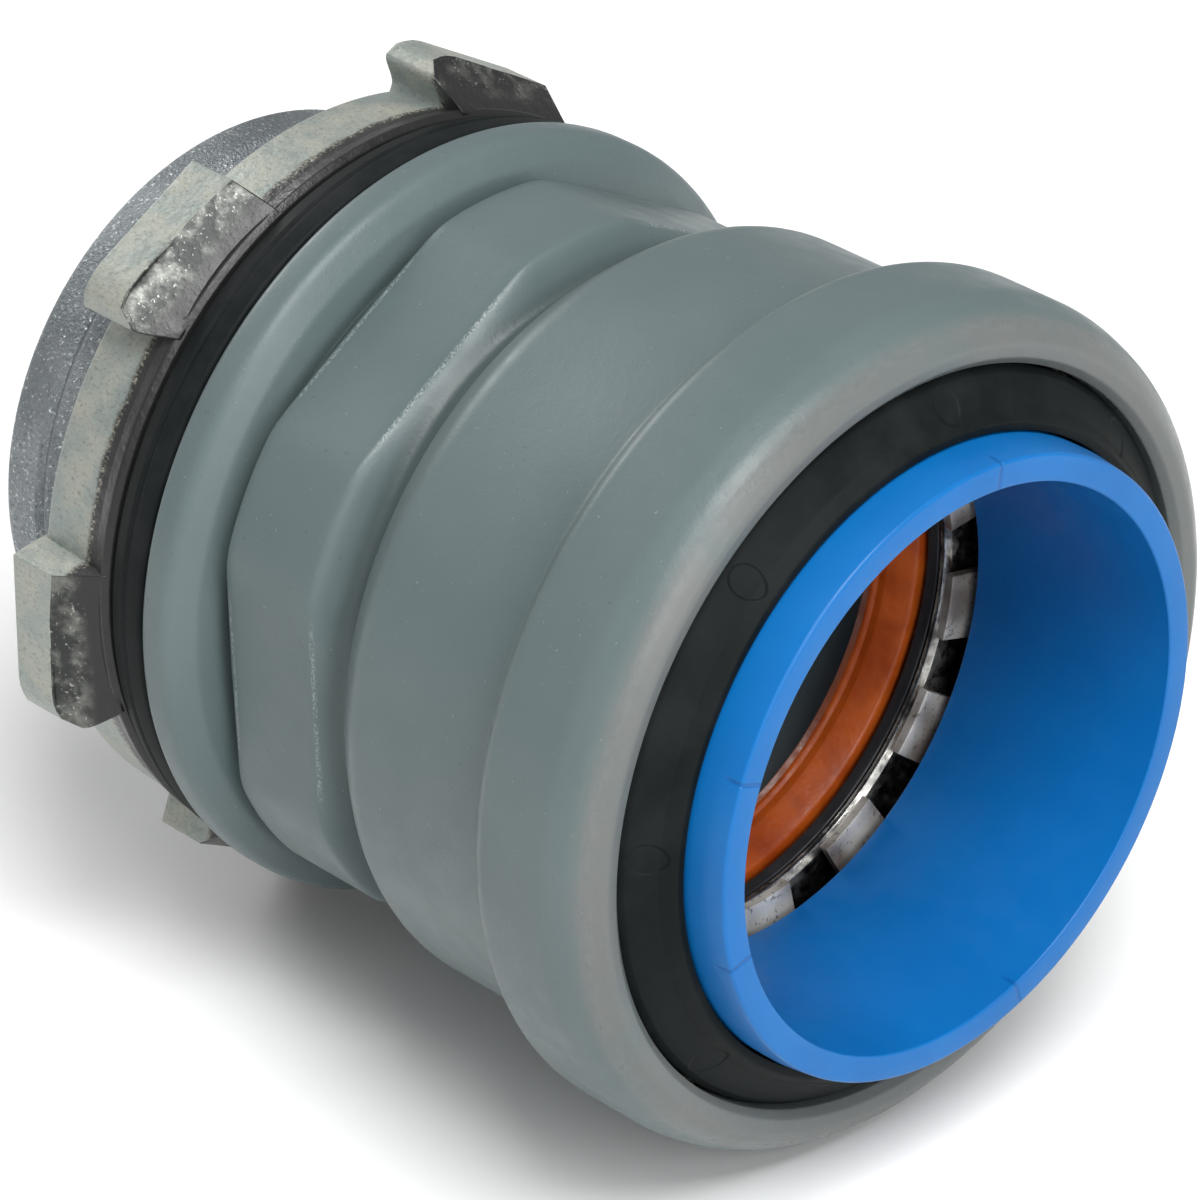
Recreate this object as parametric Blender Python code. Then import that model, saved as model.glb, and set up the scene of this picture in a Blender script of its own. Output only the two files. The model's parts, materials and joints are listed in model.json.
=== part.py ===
"""Push-in conduit connector for a 3/4 inch thin-wall steel conduit, raintight.

The axis is X. The box side, with its threaded nipple and locknut, is at -X.
The mouth that takes the conduit is at +X. The origin is on the axis, in the
plane of the flange face that the sealing gasket bears on. Metres, +Z up.
"""

import math

import bmesh
import bpy
from mathutils import Matrix

MM = 0.001

# ---- Driving dimensions -------------------------------------------------

# What the fitting is made for
CONDUIT_OD = 23.42 * MM          # 3/4 inch electrical metallic tubing
THREAD_OD = 26.67 * MM           # 3/4 inch straight pipe thread, over the crests
THREAD_PITCH = 25.4 * MM / 14    # 14 threads to the inch
STOP_STEP = 1.31 * MM            # the wire way is this much inside the conduit's surface

# Box side, from the flange face towards -X
NIPPLE_LENGTH = 12.8 * MM
NIPPLE_PILOT_LENGTH = 2.3 * MM   # plain end that leads the locknut on
THREAD_DEPTH = 0.30 * MM         # crest above the plain end
NIPPLE_CHAMFER_SHARE = 0.23      # of the nipple's wall
GASKET_INSET = 0.28 * MM         # inside the flange's edge
GASKET_THICKNESS = 2.1 * MM
GASKET_BEVEL = 0.45 * MM
NUT_INSET = 0.48 * MM            # ring inside the flange's edge, lugs left out
NUT_TAPER = 1.05 * MM            # how much slimmer the ring's back is
NUT_HEIGHT = 4.6 * MM
LUG_COUNT = 6
LUG_RISE = 2.55 * MM             # tips above the ring
LUG_ANGLE = 28.0                 # degrees of the ring that one lug takes
LUG_HEIGHT = 4.2 * MM
LUG_PHASE = 23.0                 # degrees from +Z towards +Y to the first lug

# Casting, from the flange face towards +X
FLANGE_STOCK = 3.395 * MM        # flange's edge outside the thread's crests
FLANGE_THICKNESS = 1.9 * MM
SOCKET_WALL = 1.9 * MM           # at the grooves beside the hexagon
REAR_GROOVE_WIDTH = 1.6 * MM     # between the flange and the hexagon
HEX_STOCK = 0.65 * MM            # flats above the grooves
HEX_CORNER_STOCK = 0.9 * MM      # turned corners above the flats
HEX_LENGTH = 5.8 * MM
HEX_PHASE = 28.0                 # degrees from +Z towards +Y to the first flat
FRONT_GROOVE_WIDTH = 1.3 * MM    # between the hexagon and the barrel
SHOULDER_LENGTH = 2.4 * MM       # rounded rear end of the barrel
SOCKET_DEPTH = 24.3 * MM         # from the collar's mouth to the conduit stop
BARREL_WALL = 1.8 * MM
BEAD_WALL = 1.9 * MM
LIP_OVERHANG = 0.35 * MM         # how far the rolled lip closes in over the stack
LIP_PROUD = 0.5 * MM             # lip in front of the weather seal's outer edge

# Rings in the casting, in order from the box side
SEAL_LENGTH = 2.65 * MM
SEAL_SQUEEZE = 0.9 * MM          # how far the free lip stands inside the conduit's surface
BACKUP_THICKNESS = 0.6 * MM
SPACER_LENGTH = 0.75 * MM
GRIP_SHEET = 0.45 * MM
GRIP_TEETH = 14
GRIP_BITE = 0.45 * MM            # how far the teeth stand inside the conduit's surface
GRIP_SLOPE = 0.25 * MM           # tips lie this much deeper than the roots
TOOTH_SHARE = 0.6                # part of each pitch that is tooth
TOOTH_PHASE = 99.8               # degrees from +Z towards +Y to a tooth's middle
HOLDER_LENGTH = 1.5 * MM
HOLDER_WALL = 0.85 * MM
COLLAR_TRAVEL = 0.8 * MM         # release stroke
STROKE_SPARE = 0.15 * MM         # left between the collar and the spacer when it is pushed in
COLLAR_WALL = 1.25 * MM
COLLAR_FLANGE_THICKNESS = 1.8 * MM
COLLAR_PROUD = 1.8 * MM          # collar in front of the weather seal
RETAINER_THICKNESS = 1.25 * MM
BEAD_STEP = 1.5 * MM             # bead's cavity outside the barrel's cavity
WEATHER_SEAL_THICKNESS = 1.2 * MM   # at its outer edge
WEATHER_SEAL_RISE = 1.43 * MM    # its face climbs this much towards the collar

# Clearances
ASSEMBLY_GAP = 0.25 * MM         # between pieces that touch
CONDUIT_CLEARANCE = 0.24 * MM    # radial, conduit in the collar
SLIDING_CLEARANCE = 0.30 * MM    # radial, collar in the rings round it
THREAD_CLEARANCE = 0.30 * MM     # radial, locknut and gasket over the crests
OVERLAP = 0.6 * MM               # shapes that are joined share this much

SEGMENTS = 60                    # facets round a turned piece

# ---- Radii that follow ----------------------------------------------------

conduit_radius = CONDUIT_OD / 2
collar_bore = conduit_radius + CONDUIT_CLEARANCE
collar_radius = collar_bore + COLLAR_WALL
holder_bore = collar_radius + SLIDING_CLEARANCE
cavity_radius = holder_bore + HOLDER_WALL + ASSEMBLY_GAP
ring_radius = cavity_radius - ASSEMBLY_GAP
barrel_radius = cavity_radius + BARREL_WALL
bead_cavity_radius = cavity_radius + BEAD_STEP
bead_radius = bead_cavity_radius + BEAD_WALL
lip_bore = bead_cavity_radius - LIP_OVERHANG
weather_radius = lip_bore - ASSEMBLY_GAP
tooth_tip_radius = conduit_radius - GRIP_BITE
seal_lip_radius = conduit_radius - SEAL_SQUEEZE
stop_radius = collar_bore + ASSEMBLY_GAP
groove_radius = stop_radius + SOCKET_WALL
hex_flat_radius = groove_radius + HEX_STOCK
hex_corner_radius = hex_flat_radius + HEX_CORNER_STOCK
throat_radius = conduit_radius - STOP_STEP
crest_radius = THREAD_OD / 2
pilot_radius = crest_radius - THREAD_DEPTH
nipple_chamfer = (pilot_radius - throat_radius) * NIPPLE_CHAMFER_SHARE
flange_radius = crest_radius + FLANGE_STOCK
gasket_radius = flange_radius - GASKET_INSET
nut_radius = flange_radius - NUT_INSET
lug_radius = nut_radius + LUG_RISE
nut_bore = crest_radius + THREAD_CLEARANCE

# ---- Places along the axis that follow -------------------------------------

hex_start = FLANGE_THICKNESS + REAR_GROOVE_WIDTH
hex_end = hex_start + HEX_LENGTH
barrel_start = hex_end + FRONT_GROOVE_WIDTH
seal_seat = barrel_start + SHOULDER_LENGTH

seal_start = seal_seat + ASSEMBLY_GAP
seal_end = seal_start + SEAL_LENGTH
backup_start = seal_end + ASSEMBLY_GAP
backup_end = backup_start + BACKUP_THICKNESS
spacer_start = backup_end + ASSEMBLY_GAP
spacer_end = spacer_start + SPACER_LENGTH
grip_start = spacer_end + ASSEMBLY_GAP
grip_end = grip_start + GRIP_SHEET
collar_inner_end = spacer_end + STROKE_SPARE + COLLAR_TRAVEL
holder_start = grip_end + ASSEMBLY_GAP
holder_end = holder_start + HOLDER_LENGTH
bead_cavity_start = holder_end + ASSEMBLY_GAP / 2
collar_flange_start = holder_end + ASSEMBLY_GAP + COLLAR_TRAVEL
collar_flange_end = collar_flange_start + COLLAR_FLANGE_THICKNESS
retainer_start = collar_flange_end + ASSEMBLY_GAP
retainer_end = retainer_start + RETAINER_THICKNESS
weather_start = retainer_end + ASSEMBLY_GAP
weather_outer_face = weather_start + WEATHER_SEAL_THICKNESS
weather_inner_face = weather_outer_face + WEATHER_SEAL_RISE
lip_face = weather_outer_face + LIP_PROUD
collar_mouth = weather_inner_face + COLLAR_PROUD
conduit_stop = collar_mouth - SOCKET_DEPTH

gasket_start = -ASSEMBLY_GAP
gasket_end = gasket_start - GASKET_THICKNESS
nut_front = gasket_end - ASSEMBLY_GAP
nut_back = nut_front - NUT_HEIGHT


# ---- Tools of the trade ------------------------------------------------------

def clear_scene():
    for obj in list(bpy.data.objects):
        bpy.data.objects.remove(obj, do_unlink=True)


def finish(name, colour, roughness, metallic=0.0):
    material = bpy.data.materials.new(name)
    material.use_nodes = True
    shader = material.node_tree.nodes["Principled BSDF"]
    shader.inputs["Base Color"].default_value = (*colour, 1.0)
    shader.inputs["Roughness"].default_value = roughness
    shader.inputs["Metallic"].default_value = metallic
    return material


def add_object(name, mesh, material, axis_empty):
    obj = bpy.data.objects.new(name, mesh)
    bpy.context.scene.collection.objects.link(obj)
    obj.parent = axis_empty
    if material:
        mesh.materials.append(material)
    return obj


def hide_tool(obj):
    """A cutter or a blank shapes another piece and isn't one itself."""
    obj.hide_render = True
    obj.display_type = "WIRE"
    return obj


def add_axis():
    """The pieces are turned about their own Z, and this empty lays that axis along X."""
    axis = bpy.data.objects.new("fitting_axis", None)
    bpy.context.scene.collection.objects.link(axis)
    axis.rotation_euler = (0.0, math.radians(90.0), 0.0)
    return axis


def turned(name, outline, material, axis_empty):
    """A piece turned from a closed outline of (place along the axis, radius) points.

    The outline runs down its outer side from the mouth end to the box end,
    and comes back along its bore.
    """
    mesh = bpy.data.meshes.new(name)
    points = [(radius, 0.0, place) for place, radius in outline]
    edges = [(i, (i + 1) % len(points)) for i in range(len(points))]
    mesh.from_pydata(points, edges, [])
    obj = add_object(name, mesh, material, axis_empty)
    lathe = obj.modifiers.new("lathe", "SCREW")
    lathe.axis = "Z"
    lathe.angle = math.tau
    lathe.steps = SEGMENTS
    lathe.render_steps = SEGMENTS
    lathe.use_merge_vertices = True
    lathe.merge_threshold = 0.00001
    lathe.use_smooth_shade = True
    return obj


def combine(obj, other, operation):
    step = obj.modifiers.new(operation.lower() + "_" + other.name, "BOOLEAN")
    step.operation = operation
    step.object = other
    step.solver = "EXACT"


def arc(centre, radius, start, end, steps):
    """(place, radius) points on an arc; angles in degrees, 0 towards the mouth, 90 outwards."""
    place, height = centre
    turn = [math.radians(start + (end - start) * i / steps) for i in range(steps + 1)]
    return [(place + radius * math.cos(t), height + radius * math.sin(t)) for t in turn]


def round_the_axis(angle):
    """Local direction for an angle measured from world +Z towards world +Y."""
    turn = math.radians(angle)
    return -math.cos(turn), math.sin(turn)


def wedge(bm, middle, width, inner, outer, low, high, outer_width=None):
    """A block round the axis: its middle and width in degrees, its radii, and its ends."""
    outer_width = width if outer_width is None else outer_width
    corners = []
    for place in (low, high):
        for radius, across in ((inner, width), (outer, outer_width)):
            for side in (-0.5, 0.5):
                x, y = round_the_axis(middle + side * across)
                corners.append(bm.verts.new((radius * x, radius * y, place)))
    for face in ((0, 2, 3, 1), (4, 5, 7, 6), (0, 1, 5, 4), (2, 6, 7, 3), (0, 4, 6, 2), (1, 3, 7, 5)):
        bm.faces.new([corners[i] for i in face])


def mesh_of(name, bm):
    bmesh.ops.recalc_face_normals(bm, faces=bm.faces)
    mesh = bpy.data.meshes.new(name)
    bm.to_mesh(mesh)
    bm.free()
    return mesh


# ---- Casting --------------------------------------------------------------------

def casting_outline():
    lip_round = lip_face - retainer_end
    lip_middle = (retainer_end, bead_radius - lip_round)
    shoulder = barrel_radius - groove_radius
    flange_round = FLANGE_THICKNESS * 0.4
    outside = [(lip_face, lip_bore + LIP_PROUD)]
    outside += arc(lip_middle, lip_round, 30, 90, 4)
    outside += [
        (holder_end + ASSEMBLY_GAP * 3, bead_radius),
        (holder_end, bead_radius - BEAD_WALL * 0.25),
        (holder_end - ASSEMBLY_GAP, barrel_radius),
    ]
    outside += arc((barrel_start + shoulder, groove_radius), shoulder, 90, 180, 5)
    outside += [
        (hex_end - OVERLAP, groove_radius),
        (hex_start + OVERLAP, groove_radius),
        (FLANGE_THICKNESS + REAR_GROOVE_WIDTH * 0.6, groove_radius),
        (FLANGE_THICKNESS, flange_radius - flange_round),
    ]
    outside += [
        (FLANGE_THICKNESS - flange_round, flange_radius),
        (flange_round, flange_radius),
        (0.0, flange_radius - flange_round),
        (0.0, crest_radius),
        (-NIPPLE_LENGTH + NIPPLE_PILOT_LENGTH, crest_radius),
        (-NIPPLE_LENGTH + NIPPLE_PILOT_LENGTH - THREAD_DEPTH, pilot_radius),
        (-NIPPLE_LENGTH + nipple_chamfer, pilot_radius),
        (-NIPPLE_LENGTH, pilot_radius - nipple_chamfer),
    ]
    bore = [
        (-NIPPLE_LENGTH, throat_radius + nipple_chamfer),
        (-NIPPLE_LENGTH + nipple_chamfer, throat_radius),
        (conduit_stop - nipple_chamfer, throat_radius),
        (conduit_stop, throat_radius + nipple_chamfer),
        (conduit_stop, stop_radius),
        (seal_seat, stop_radius),
        (seal_seat, cavity_radius),
        (bead_cavity_start, cavity_radius),
        (bead_cavity_start, bead_cavity_radius),
        (retainer_end, bead_cavity_radius),
        (weather_start, lip_bore),
        (lip_face - LIP_PROUD, lip_bore),
    ]
    return outside + bore


def add_casting(material, axis):
    casting = turned("body_casting", casting_outline(), material, axis)
    chamfer = hex_corner_radius - groove_radius
    inside = groove_radius - OVERLAP
    blank = turned("hexagon_blank", [
        (hex_end, groove_radius),
        (hex_end - chamfer * 0.6, hex_corner_radius),
        (hex_start + chamfer * 0.6, hex_corner_radius),
        (hex_start, groove_radius),
        (hex_start, inside),
        (hex_end, inside),
    ], None, axis)
    bm = bmesh.new()
    prism_radius = hex_flat_radius / math.cos(math.pi / 6)
    bmesh.ops.create_cone(
        bm, cap_ends=True, segments=6, radius1=prism_radius,
        radius2=prism_radius, depth=HEX_LENGTH * 2,
        matrix=Matrix.Translation((0, 0, (hex_start + hex_end) / 2))
        @ Matrix.Rotation(math.radians(-HEX_PHASE), 4, "Z"),
    )
    prism = hide_tool(add_object("hexagon_prism", mesh_of("hexagon_prism", bm), None, axis))
    combine(blank, prism, "INTERSECT")
    combine(casting, hide_tool(blank), "UNION")
    return casting


# ---- Box side ---------------------------------------------------------------------

def add_gasket(material, axis):
    return turned("box_sealing_gasket", [
        (gasket_start, gasket_radius),
        (gasket_end + GASKET_THICKNESS / 2, gasket_radius),
        (gasket_end, gasket_radius - GASKET_BEVEL),
        (gasket_end, nut_bore),
        (gasket_start, nut_bore),
    ], material, axis)


def add_locknut(material, axis):
    edge = NUT_TAPER * 0.35
    nut = turned("locknut", [
        (nut_front, nut_radius - edge),
        (nut_front - edge, nut_radius),
        (nut_back + edge, nut_radius - NUT_TAPER),
        (nut_back, nut_radius - NUT_TAPER - edge),
        (nut_back, nut_bore),
        (nut_front, nut_bore),
    ], material, axis)
    bm = bmesh.new()
    root = (nut_radius - NUT_TAPER + nut_bore) / 2
    for lug in range(LUG_COUNT):
        middle = LUG_PHASE + 360.0 * lug / LUG_COUNT
        wedge(bm, middle, LUG_ANGLE, root, lug_radius,
              nut_front - LUG_HEIGHT, nut_front - edge / 2, LUG_ANGLE * 0.85)
    lugs = hide_tool(add_object("lug_blanks", mesh_of("lug_blanks", bm), None, axis))
    combine(nut, lugs, "UNION")
    return nut


# ---- Rings in the casting -------------------------------------------------------------

def ring(name, start, end, outer, inner, material, axis):
    return turned(name, [(end, outer), (start, outer), (start, inner), (end, inner)], material, axis)


def add_conduit_seal(material, axis):
    middle = seal_start + SEAL_LENGTH * 0.4
    return turned("conduit_seal", [
        (seal_end, ring_radius),
        (seal_start, ring_radius),
        (seal_start, conduit_radius),
        (middle - SEAL_LENGTH * 0.15, seal_lip_radius),
        (middle, seal_lip_radius),
        (seal_end, conduit_radius - SEAL_SQUEEZE * 0.2),
    ], material, axis)


def add_grip_ring(material, axis):
    root = holder_bore - ASSEMBLY_GAP / 2
    grip = turned("grip_ring", [
        (grip_end, ring_radius),
        (grip_start, ring_radius),
        (grip_start, root),
        (grip_start - GRIP_SLOPE, tooth_tip_radius),
        (grip_end - GRIP_SLOPE, tooth_tip_radius),
        (grip_end, root),
    ], material, axis)
    bm = bmesh.new()
    pitch = 360.0 / GRIP_TEETH
    for slot in range(GRIP_TEETH):
        wedge(bm, TOOTH_PHASE + pitch * (slot + 0.5), pitch * (1 - TOOTH_SHARE),
              tooth_tip_radius - OVERLAP, root, grip_start - OVERLAP * 2, grip_end + OVERLAP)
    slots = hide_tool(add_object("slot_cutter", mesh_of("slot_cutter", bm), None, axis))
    combine(grip, slots, "DIFFERENCE")
    return grip


def add_release_collar(material, axis):
    edge = COLLAR_WALL * 0.2
    skirt_radius = bead_cavity_radius - ASSEMBLY_GAP * 1.5
    return turned("release_collar", [
        (collar_mouth, collar_radius - edge),
        (collar_mouth - edge, collar_radius),
        (collar_flange_end, collar_radius),
        (collar_flange_end, skirt_radius),
        (collar_flange_start, skirt_radius),
        (collar_flange_start, collar_radius),
        (collar_inner_end, collar_radius),
        (collar_inner_end, collar_bore),
        (collar_mouth, collar_bore),
    ], material, axis)


def add_weather_seal(material, axis):
    inner = collar_radius + SLIDING_CLEARANCE
    return turned("weather_seal", [
        (weather_inner_face, inner + ASSEMBLY_GAP),
        (weather_outer_face, weather_radius),
        (weather_start, weather_radius),
        (weather_start, inner),
        (weather_inner_face, inner),
    ], material, axis)


def main():
    clear_scene()
    axis = add_axis()
    grey = finish("grey_coating", (0.19, 0.23, 0.24), 0.5)
    zinc = finish("zinc_plate", (0.62, 0.65, 0.61), 0.38, 1.0)
    rubber = finish("black_rubber", (0.025, 0.028, 0.03), 0.6)
    orange = finish("orange_silicone", (0.42, 0.11, 0.02), 0.4)
    nylon = finish("dark_nylon", (0.03, 0.03, 0.032), 0.5)
    steel = finish("spring_steel", (0.5, 0.5, 0.49), 0.3, 1.0)
    blue = finish("blue_plastic", (0.03, 0.23, 0.67), 0.35)

    add_casting(grey, axis)
    add_gasket(rubber, axis)
    add_locknut(zinc, axis)
    add_conduit_seal(orange, axis)
    ring("backup_washer", backup_start, backup_end, ring_radius, collar_bore, nylon, axis)
    ring("spacer_ring", spacer_start, spacer_end, ring_radius, collar_bore, steel, axis)
    add_grip_ring(steel, axis)
    ring("grip_ring_holder", holder_start, holder_end, ring_radius, holder_bore, nylon, axis)
    add_release_collar(blue, axis)
    ring("collar_retaining_ring", retainer_start, retainer_end,
         bead_cavity_radius - ASSEMBLY_GAP, collar_radius + SLIDING_CLEARANCE, steel, axis)
    add_weather_seal(rubber, axis)


main()
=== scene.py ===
# %% [markdown]
# # A push-in conduit connector
#
# This fitting joins a steel conduit to the wall of an electrical box. The
# conduit is pushed into the blue collar and stays there. The threaded end goes
# through a hole in the box and a locknut with six lugs holds it. Nearly every
# piece is turned about one axis, so this lesson is mostly about drawing half
# of a section and spinning it.

# %% Load the fixed frame
import math

import bpy
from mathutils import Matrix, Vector
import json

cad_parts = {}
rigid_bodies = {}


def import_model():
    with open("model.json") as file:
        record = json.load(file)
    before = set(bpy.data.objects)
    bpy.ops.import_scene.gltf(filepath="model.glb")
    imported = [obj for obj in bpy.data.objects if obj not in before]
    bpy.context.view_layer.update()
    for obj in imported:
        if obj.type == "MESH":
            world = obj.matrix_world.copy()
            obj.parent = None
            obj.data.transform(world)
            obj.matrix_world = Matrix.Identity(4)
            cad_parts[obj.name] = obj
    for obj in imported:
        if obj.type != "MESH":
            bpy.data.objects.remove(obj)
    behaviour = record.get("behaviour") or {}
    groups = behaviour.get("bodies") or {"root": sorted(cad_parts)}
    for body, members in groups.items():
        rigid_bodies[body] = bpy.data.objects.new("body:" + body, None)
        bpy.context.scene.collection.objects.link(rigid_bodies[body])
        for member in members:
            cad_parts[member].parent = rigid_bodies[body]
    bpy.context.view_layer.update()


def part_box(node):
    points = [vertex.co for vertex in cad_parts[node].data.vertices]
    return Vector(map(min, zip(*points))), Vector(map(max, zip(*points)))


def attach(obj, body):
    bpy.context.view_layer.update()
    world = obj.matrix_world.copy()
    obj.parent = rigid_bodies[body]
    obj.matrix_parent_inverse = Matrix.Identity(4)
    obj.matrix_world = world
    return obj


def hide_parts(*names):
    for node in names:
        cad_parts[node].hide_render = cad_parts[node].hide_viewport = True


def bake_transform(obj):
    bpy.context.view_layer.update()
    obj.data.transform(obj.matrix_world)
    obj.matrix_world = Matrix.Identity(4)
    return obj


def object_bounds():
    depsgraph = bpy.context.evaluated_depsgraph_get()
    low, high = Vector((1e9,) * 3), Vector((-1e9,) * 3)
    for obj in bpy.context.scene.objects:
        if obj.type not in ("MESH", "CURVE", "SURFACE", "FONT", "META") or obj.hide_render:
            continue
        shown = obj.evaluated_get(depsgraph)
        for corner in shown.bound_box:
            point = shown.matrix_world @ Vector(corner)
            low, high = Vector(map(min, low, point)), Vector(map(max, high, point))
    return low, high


for leftover in list(bpy.data.objects):
    bpy.data.objects.remove(leftover, do_unlink=True)
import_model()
MM = 0.001

# %% [markdown]
# ## Where things are
#
# The axis of the fitting is X. The mouth is at +X and the box is at -X. Each
# piece of the CAD model tells where it starts and ends along that axis, so
# nothing here has to be placed by eye. `span` reads those two places and the
# outer radius of a piece, all in millimetres.

# %% Read places from the frame
def span(node):
    """Start, end and outer radius of a CAD piece, in millimetres."""
    low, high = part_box(node)
    return low[0] / MM, high[0] / MM, high[2] / MM


nipple_end, lip_face, bead_radius = span("body_casting")
gasket_end, gasket_start, gasket_radius = span("box_sealing_gasket")
nut_back, nut_front, lug_radius = span("locknut")
seal_start, seal_end, ring_radius = span("conduit_seal")
backup_start, backup_end, _ = span("backup_washer")
spacer_start, spacer_end, _ = span("spacer_ring")
_, grip_end, _ = span("grip_ring")
holder_start, holder_end, _ = span("grip_ring_holder")
collar_end, collar_mouth, skirt_radius = span("release_collar")
retainer_start, retainer_end, retainer_radius = span("collar_retaining_ring")
weather_start, weather_top, weather_radius = span("weather_seal")
print("mouth of the collar at", round(collar_mouth, 2), "mm")
print("end of the nipple at", round(nipple_end, 2), "mm")

# %% [markdown]
# ## Radii that a box can't tell
#
# A box gives the outside of a ring and not its bore. These are the bores and
# the steps of the casting, as radii in millimetres. The hexagon's ends are
# places along the axis.

# %% Name the inner radii
CONDUIT = 11.71  # outside of the conduit that is pushed in
COLLAR_BORE = 11.95
COLLAR_OUTSIDE = 13.26
LIP_BORE = 15.62
CAVITY = 14.60  # the casting's bore round the inner rings
BEAD_CAVITY = 16.10  # and under the rolled bead
SOCKET = 12.20  # where the conduit's end sits
SOCKET_FLOOR = 4.93  # place of the step that stops it
THROAT = 10.40
RING_BORE = 13.50  # the two rings that can't be seen
BARREL = 16.40
BEAD_START = 20.95  # place where the bead rises from the barrel
GROOVE = 14.10
HEX_FLAT = 14.75
HEX_CORNER = 15.65
HEX_START, HEX_END = 3.45, 8.10
FLANGE = 16.73
CREST = 13.33  # top of the nipple's thread
PILOT = 13.03  # the nipple's plain end
NUT_BORE = 13.62
PITCH = 25.4 / 14

# %% Name what repeats round the axis
LUGS, LUGS_AT = 6, 26.0  # how many, and the first one's angle in degrees
FLATS_AT = 28.0
TEETH, TOOTH_AT = 14, 99.8
TURN_STEPS = 192

# %% [markdown]
# ## Drawing a section
#
# Every corner of a cast or moulded piece has a small radius, and those radii
# catch the light. The section is written as a few corners, each with its own
# fillet, and `rounded` puts a short arc in place of each corner. The arc
# touches both sides, so its ends lie at the fillet divided by the tangent of
# half the corner's angle.

# %% Round the corners of a section
def rounded(corners, steps=5):
    """(place, radius, fillet) corners of a closed section, with an arc at each fillet."""
    points = []
    for i, (x, r, fillet) in enumerate(corners):
        here = Vector((x, r))
        back = Vector(corners[i - 1][:2]) - here
        ahead = Vector(corners[(i + 1) % len(corners)][:2]) - here
        half = back.angle(ahead) / 2
        if not fillet or half > math.radians(88):
            points.append((x, r))
            continue
        reach = min(fillet / math.tan(half), back.length * 0.49, ahead.length * 0.49)
        radius = reach * math.tan(half)
        inwards = (back.normalized() + ahead.normalized()).normalized()
        centre = here + inwards * radius / math.sin(half)
        first = here + back.normalized() * reach - centre
        last = here + ahead.normalized() * reach - centre
        sweep = first.angle_signed(last)
        for step in range(steps + 1):
            turned = sweep * step / steps
            arm = Vector((
                first.x * math.cos(turned) + first.y * math.sin(turned),
                first.y * math.cos(turned) - first.x * math.sin(turned),
            ))
            points.append(tuple(centre + arm))
    return points


# %% [markdown]
# ## Spinning a section
#
# A real turned piece comes off a lathe. Blender's Spin operator does the same:
# the section is drawn by extruding one point from corner to corner, and is
# then spun once round the X axis. The first and last copies lie on each other,
# so doubles are merged, and the normals are recalculated because a spin may
# leave them facing inwards.

# %% Build the drawing and spinning helpers
def start_point(name, place):
    """A new object in edit mode that holds one selected point."""
    bpy.ops.object.select_all(action="DESELECT")
    bpy.ops.mesh.primitive_plane_add(size=MM, location=(0, 0, 0))
    piece = bpy.context.object
    piece.name = piece.data.name = name
    bpy.ops.object.mode_set(mode="EDIT")
    bpy.ops.mesh.select_mode(type="VERT")
    bpy.ops.mesh.select_all(action="SELECT")
    bpy.ops.mesh.merge(type="CENTER")
    bpy.ops.transform.translate(value=place)
    return piece


def draw_section(name, points):
    """A closed loop of edges through 3D points given in metres, left in edit mode."""
    piece = start_point(name, points[0])
    for before, after in zip(points, points[1:] + points[:1]):
        step = tuple(b - a for a, b in zip(before, after))
        bpy.ops.mesh.extrude_region_move(TRANSFORM_OT_translate={"value": step})
    bpy.ops.mesh.select_all(action="SELECT")
    bpy.ops.mesh.remove_doubles(threshold=MM * 0.001)
    return piece


def tidy_faces(threshold=0.002):
    """Merges doubles and turns every face outwards, in edit mode."""
    bpy.ops.mesh.select_all(action="SELECT")
    bpy.ops.mesh.remove_doubles(threshold=MM * threshold)
    bpy.ops.mesh.normals_make_consistent(inside=False)


def turn(name, corners, steps=TURN_STEPS, arc=5):
    """A piece turned about X from (place, radius, fillet) corners in millimetres."""
    points = [(x * MM, 0.0, r * MM) for x, r in rounded(corners, arc)]
    piece = draw_section(name, points)
    bpy.ops.mesh.spin(steps=steps, angle=math.tau, center=(0, 0, 0), axis=(1, 0, 0))
    tidy_faces()
    bpy.ops.object.mode_set(mode="OBJECT")
    bpy.ops.object.shade_smooth_by_angle(angle=math.radians(38))
    print(name, "has", len(piece.data.polygons), "faces")
    return piece


# %% [markdown]
# ## Directions round the axis
#
# Lugs, flats and teeth repeat round the axis. Angles are measured from the top
# towards +Y, and `spoke` gives the direction in space.

# %% Point round the axis
def spoke(angle):
    """Unit vector for an angle in degrees from +Z towards +Y."""
    return Vector((0.0, math.sin(math.radians(angle)), math.cos(math.radians(angle))))


def around(x, radius, angle):
    """A point in metres from a place along the axis, a radius and an angle."""
    return Vector((x * MM, 0, 0)) + spoke(angle) * radius * MM


def apply_all(piece):
    """Applies the modifiers of a piece, one after the other."""
    bpy.ops.object.select_all(action="DESELECT")
    piece.select_set(True)
    bpy.context.view_layer.objects.active = piece
    for modifier in list(piece.modifiers):
        bpy.ops.object.modifier_apply(modifier=modifier.name)


def join_on(piece, other):
    """An exact Boolean union that is applied, after which the other shape is removed."""
    step = piece.modifiers.new("union", "BOOLEAN")
    step.operation = "UNION"
    step.object = other
    step.solver = "EXACT"
    apply_all(piece)
    bpy.data.objects.remove(other, do_unlink=True)


# %% [markdown]
# ## The casting
#
# The body is one zinc casting under a grey coat. From the mouth it has a rolled
# lip, a wide bead that is rolled over the collar's skirt, the barrel, a groove,
# the hexagon for a wrench, another groove and the flange. The section runs down
# the outside and comes back along the bore. Between the two grooves it is drawn
# with closely spaced corners, and those carry the hexagon in the next step.

# %% Turn the casting
def rows(start, end, radius, spacing=0.13):
    """Closely spaced corners along a straight part of a section."""
    count = max(2, round(abs(end - start) / spacing))
    return [(start + (end - start) * i / count, radius, 0.0) for i in range(count + 1)]


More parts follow.
